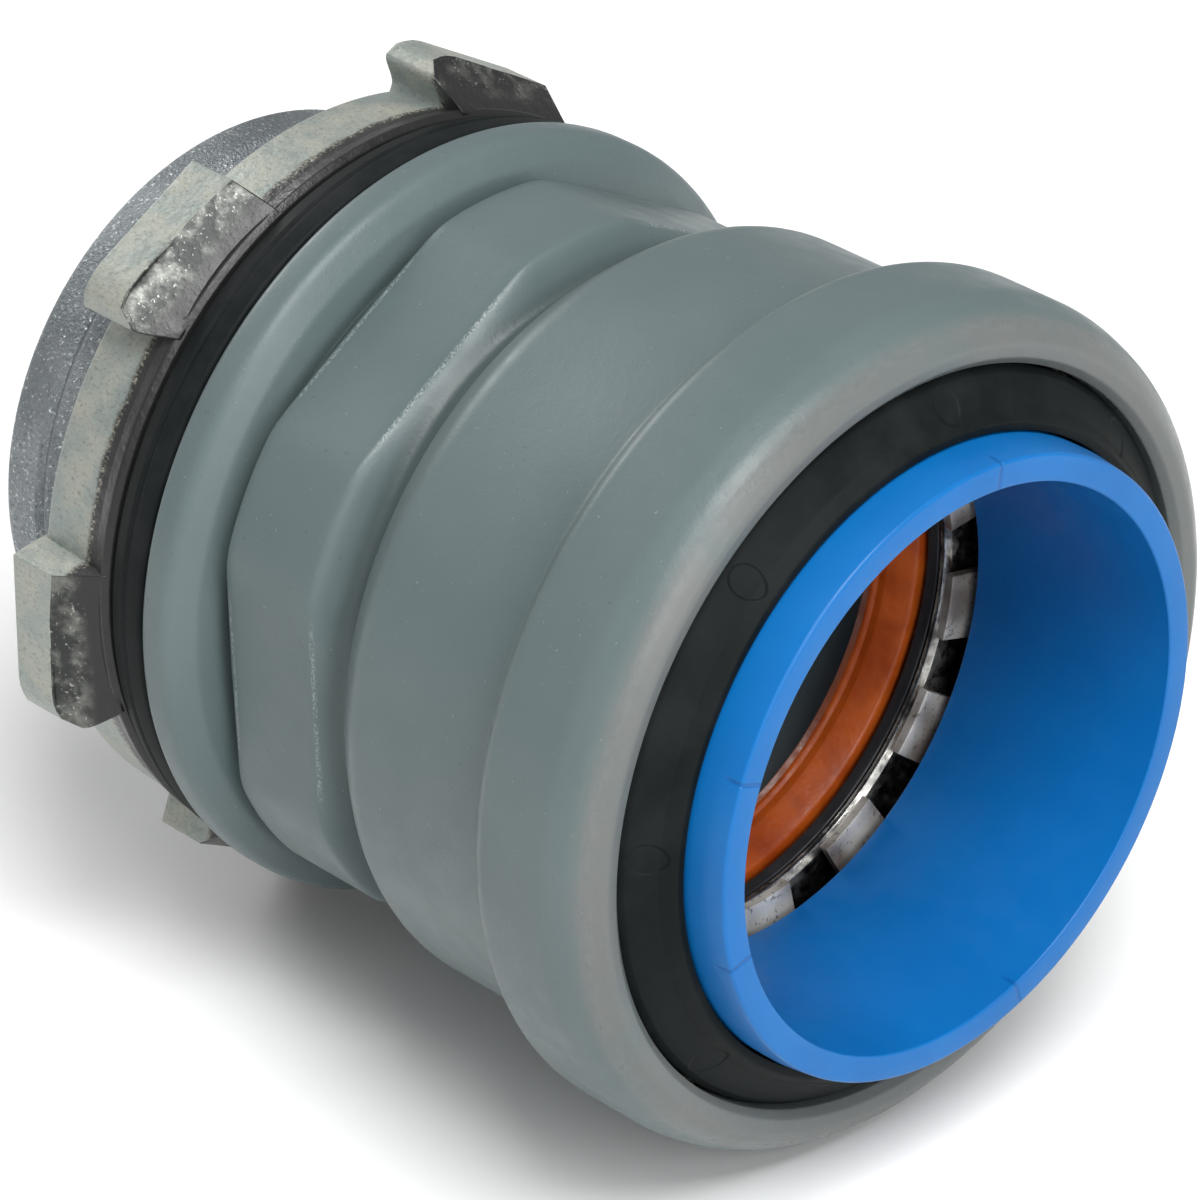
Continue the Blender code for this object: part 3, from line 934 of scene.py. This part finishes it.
# %% [markdown]
# ## Rubber
#
# Moulded rubber is a matt near-black with a slightly chalky bloom. The weather
# seal is the darker one, and carries faint round marks where the pins of its
# mould pushed it out.

# %% Mix the rubber, and the weather seal's with its pin marks
def mix_rubber(name, dark, pale):
    """Chalky rubber that drifts between two colours."""
    material, tree, shader, place = new_finish(name, dark, 0.58)
    shader.inputs["Specular IOR Level"].default_value = 0.09
    chalk = noise(tree, place, 2.6, 4.0, 0.6)
    colour = blend_colours(tree, between(tree, chalk, 0.35, 0.75), dark, pale)
    tree.links.new(colour, shader.inputs["Base Color"])
    tree.links.new(between(tree, chalk, 0.3, 0.7, 0.48, 0.64), shader.inputs["Roughness"])
    relief(tree, shader, noise(tree, place, 0.35, 2.0), 0.01)
    return material, tree, shader, place


black_rubber = mix_rubber("black_rubber", (0.007, 0.009, 0.009), (0.015, 0.017, 0.018))[0]
wiper_rubber, tree, shader, place = mix_rubber(
    "wiper_rubber", (0.004, 0.006, 0.006), (0.010, 0.012, 0.012))
x, radius, angle = round_the_axis(tree, place)
PIN_RADIUS, PIN_CIRCLE, PINS, PIN_SHIFT = 0.62, 14.60, 8, math.radians(17.5)
turned = times(tree, maths(tree, "ADD", angle, math.tau + PIN_SHIFT), PINS / math.tau)
from_pin = maths(tree, "SUBTRACT", maths(tree, "FRACT", turned), 0.5)
sideways = times(tree, from_pin, math.tau / PINS * PIN_CIRCLE * MM)
outwards = maths(tree, "SUBTRACT", radius, PIN_CIRCLE * MM)
pin_dent = between(tree, length(tree, sideways, outwards),
                   (PIN_RADIUS + 0.06) * MM, (PIN_RADIUS - 0.06) * MM)
relief(tree, shader, maths(tree, "SUBTRACT", 1.0, pin_dent), 0.06)

# %% [markdown]
# ## Silicone, nylon and spring steel
#
# The seal is orange-brown silicone with a soft sheen. The washers beside it
# are dark nylon. The spring steel is scuffed from the press: long fine
# scratches run round the ring, with brighter patches.

# %% Mix the inner finishes
orange_silicone, tree, shader, place = new_finish("orange_silicone", (0.44, 0.075, 0.007), 0.38)
shader.inputs["Specular IOR Level"].default_value = 0.28
shade = noise(tree, place, 2.2, 3.0)
colour = blend_colours(tree, between(tree, shade, 0.3, 0.7),
                       (0.29, 0.042, 0.004), (0.48, 0.090, 0.009))
tree.links.new(colour, shader.inputs["Base Color"])
sheen = between(tree, noise(tree, place, 0.5, 2.0), 0.3, 0.7, 0.28, 0.46)
tree.links.new(sheen, shader.inputs["Roughness"])
relief(tree, shader, noise(tree, place, 0.4, 2.0), 0.02)

dark_nylon, tree, shader, place = new_finish("dark_nylon", (0.02, 0.021, 0.023), 0.45)
sheen = between(tree, noise(tree, place, 0.8, 3.0), 0.3, 0.7, 0.36, 0.56)
tree.links.new(sheen, shader.inputs["Roughness"])
relief(tree, shader, noise(tree, place, 0.3, 2.0), 0.01)

spring_steel, tree, shader, place = new_finish("spring_steel", (0.5, 0.49, 0.47), 0.30, 1.0)
streak = noise(tree, place, 0.35, 3.0, 0.6, stretch=(2.5, 0.6, 0.6))
bright = noise(tree, place, 1.7, 3.0, 0.6)
colour = blend_colours(tree, between(tree, bright, 0.40, 0.62), (0.07, 0.07, 0.07), (0.46, 0.45, 0.42))
scored = times(tree, between(tree, streak, 0.45, 0.25), 0.7)
colour = blend_colours(tree, scored, colour, (0.05, 0.05, 0.05))
tree.links.new(colour, shader.inputs["Base Color"])
tree.links.new(between(tree, streak, 0.3, 0.7, 0.42, 0.22), shader.inputs["Roughness"])
relief(tree, shader, streak, 0.02)

tooth_steel, tree, shader, place = new_finish("tooth_steel", (0.55, 0.52, 0.48), 0.42, 0.55)
tone = noise(tree, place, 3.4, 2.0)
colour = blend_colours(tree, between(tree, tone, 0.35, 0.65), (0.20, 0.17, 0.15), (0.74, 0.71, 0.64))
fleck = noise(tree, place, 0.25, 3.0, 0.6)
flecked = times(tree, between(tree, fleck, 0.56, 0.70), 0.7)
colour = blend_colours(tree, flecked, colour, (0.08, 0.07, 0.06))
tree.links.new(colour, shader.inputs["Base Color"])
relief(tree, shader, fleck, 0.02)

# %% [markdown]
# ## Blue plastic
#
# The collar is glossy moulded plastic with a very even colour. It has faint
# flow marks, and four small ticks near its rim are left from the mould's
# gates.

# %% Mix the blue plastic
TICKS_AT = (7.0, 163.0, -105.0, -69.0)
TICK_HALF = 0.045
RIM_RADIUS = 12.5  # turns an angle round the rim into millimetres
blue_plastic, tree, shader, place = new_finish("blue_plastic", (0.003, 0.112, 0.37), 0.34)
shader.inputs["Specular IOR Level"].default_value = 0.26
x, radius, angle = round_the_axis(tree, place)
flow = noise(tree, place, 6.0, 2.0, 0.5, stretch=(0.4, 1.0, 1.0))
colour = blend_colours(tree, between(tree, flow, 0.3, 0.7),
                       (0.002, 0.108, 0.340), (0.003, 0.122, 0.375))
ticks = None
for tick_at in TICKS_AT:
    turned = maths(tree, "SUBTRACT", angle, math.radians(tick_at))
    away = maths(tree, "ABSOLUTE", times(tree, turned, RIM_RADIUS))
    tick = between(tree, away, TICK_HALF * 2.4, TICK_HALF)
    ticks = tick if ticks is None else maths(tree, "MAXIMUM", ticks, tick)
near_rim = between(tree, x, (collar_mouth - 0.95) * MM, (collar_mouth - 0.45) * MM)
ticks = times(tree, ticks, near_rim)
colour = blend_colours(tree, times(tree, ticks, 0.4), colour, (0.002, 0.05, 0.22))
tree.links.new(colour, shader.inputs["Base Color"])
gloss = between(tree, noise(tree, place, 1.2, 3.0), 0.3, 0.7, 0.30, 0.42)
tree.links.new(gloss, shader.inputs["Roughness"])
relief(tree, shader, maths(tree, "SUBTRACT", 1.0, ticks), 0.03)
relief(tree, shader, noise(tree, place, 1.5, 2.0), 0.008)

# %% [markdown]
# ## Dressing the pieces
#
# Each piece gets its finish, and all but the teeth are put on a body. The nut
# has two finishes: the lugs' faces that look towards the mouth get a darker
# copy of the plate, which is painted shade.

# %% Give the pieces their finishes
for piece, material in (
    (casting, grey_coat), (nipple, bare_zinc), (gasket, black_rubber), (seal, orange_silicone),
    (backup, dark_nylon), (spacer, spring_steel), (rim, spring_steel), (holder, dark_nylon),
    (retainer, spring_steel), (collar, blue_plastic), (weather, wiper_rubber),
):
    wear(piece, material)
wear(nut, dull_plate, lug_front_painted_shade)
# Faces that look towards the mouth get the darker copy, which is painted shade.
for face in nut.data.polygons:
    out = math.hypot(face.center.y, face.center.z) / MM
    face.material_index = int(face.normal.x > 0.40 and out > 16.0)
print("rubbed faces on the lugs:", sum(face.material_index for face in nut.data.polygons))
for tooth in teeth:
    wear(tooth, tooth_steel)

# %% Put each piece but the teeth on its body
homes = {
    casting: ("body_casting", "fitting", "grey_coating"),
    nipple: ("body_casting", "fitting", "zinc_plate"),
    gasket: ("box_sealing_gasket", "gasket", "black_rubber"),
    nut: ("locknut", "locknut", "zinc_plate"),
    seal: ("conduit_seal", "fitting", "orange_silicone"),
    backup: ("backup_washer", "fitting", "dark_nylon"),
    spacer: ("spacer_ring", "fitting", "spring_steel"),
    rim: ("grip_ring", "fitting", "spring_steel"),
    holder: ("grip_ring_holder", "fitting", "dark_nylon"),
    retainer: ("collar_retaining_ring", "fitting", "spring_steel"),
    collar: ("release_collar", "release_collar", "blue_plastic"),
    weather: ("weather_seal", "fitting", "black_rubber"),
}
for piece, (node, body, finish) in homes.items():
    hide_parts(node)
    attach(piece, body)
for i, tooth in enumerate(teeth):
    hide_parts("grip_ring")
    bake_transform(tooth)

# %% [markdown]
# ## The floor and the light
#
# The fitting lies on a plain pale floor. A large soft lamp hangs above, a second
# one fills from the mouth's side, and a weak third one behind the box end draws
# bright lines along the edges that face away. A pale sky keeps the shadows
# soft.

# %% Lay the floor
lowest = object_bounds()[0][2]
bpy.ops.mesh.primitive_plane_add(size=4.0, location=(0, 0, lowest - 0.0003))
floor = bpy.context.object
floor.name = "floor"
floor_paint, tree, shader, place = new_finish("floor_paint", (0.86, 0.86, 0.86), 0.9)
shader.inputs["Specular IOR Level"].default_value = 0.1
wear(floor, floor_paint)


# %% Hang the lamps
def soft_lamp(name, place, target, size, watts):
    """A square area lamp that looks at a target; places are in metres."""
    lamp = bpy.data.lights.new(name, "AREA")
    lamp.shape = "SQUARE"
    lamp.size = size
    lamp.energy = watts
    stand = bpy.data.objects.new(name, lamp)
    stand.location = place
    stand.rotation_euler = (Vector(target) - Vector(place)).to_track_quat("-Z", "Y").to_euler()
    bpy.context.scene.collection.objects.link(stand)


aim = (0.008, 0.0, 0.0)
soft_lamp("key_lamp", (0.22, -0.10, 0.42), aim, 0.26, 2.6)
soft_lamp("fill_lamp", (0.48, -0.12, 0.20), aim, 0.30, 1.3)
soft_lamp("rim_lamp", (-0.38, 0.02, 0.20), aim, 0.16, 0.6)
sky = bpy.data.worlds.new("sky")
sky.use_nodes = True
sky.node_tree.nodes["Background"].inputs["Color"].default_value = (1.0, 1.0, 1.0, 1.0)
sky.node_tree.nodes["Background"].inputs["Strength"].default_value = 0.40
bpy.context.scene.world = sky
bpy.context.scene.view_settings.view_transform = "Standard"

# %% [markdown]
# ## The camera
#
# The camera looks down into the mouth from its side. It uses a long lens from
# some way off, so that the far end isn't much smaller than the near one. Its
# place is measured from the mouth of the collar.

# %% Set up the camera
LOOK = Vector((-0.6184, 0.6016, -0.5056))  # the direction that it looks in
FROM_MOUTH = Vector((141.9, -157.6, 131.7)) * MM
eye = bpy.data.cameras.new("camera")
eye.lens = 194.0
eye.sensor_width = 36.0
eye.clip_start = 0.01
camera = bpy.data.objects.new("camera", eye)
camera.location = FROM_MOUTH + Vector((collar_mouth * MM, 0, 0))
camera.rotation_euler = LOOK.to_track_quat("-Z", "Y").to_euler()
bpy.context.scene.collection.objects.link(camera)
bpy.context.scene.camera = camera

# %% [markdown]
# ## The end
#

# %% Finish
import json
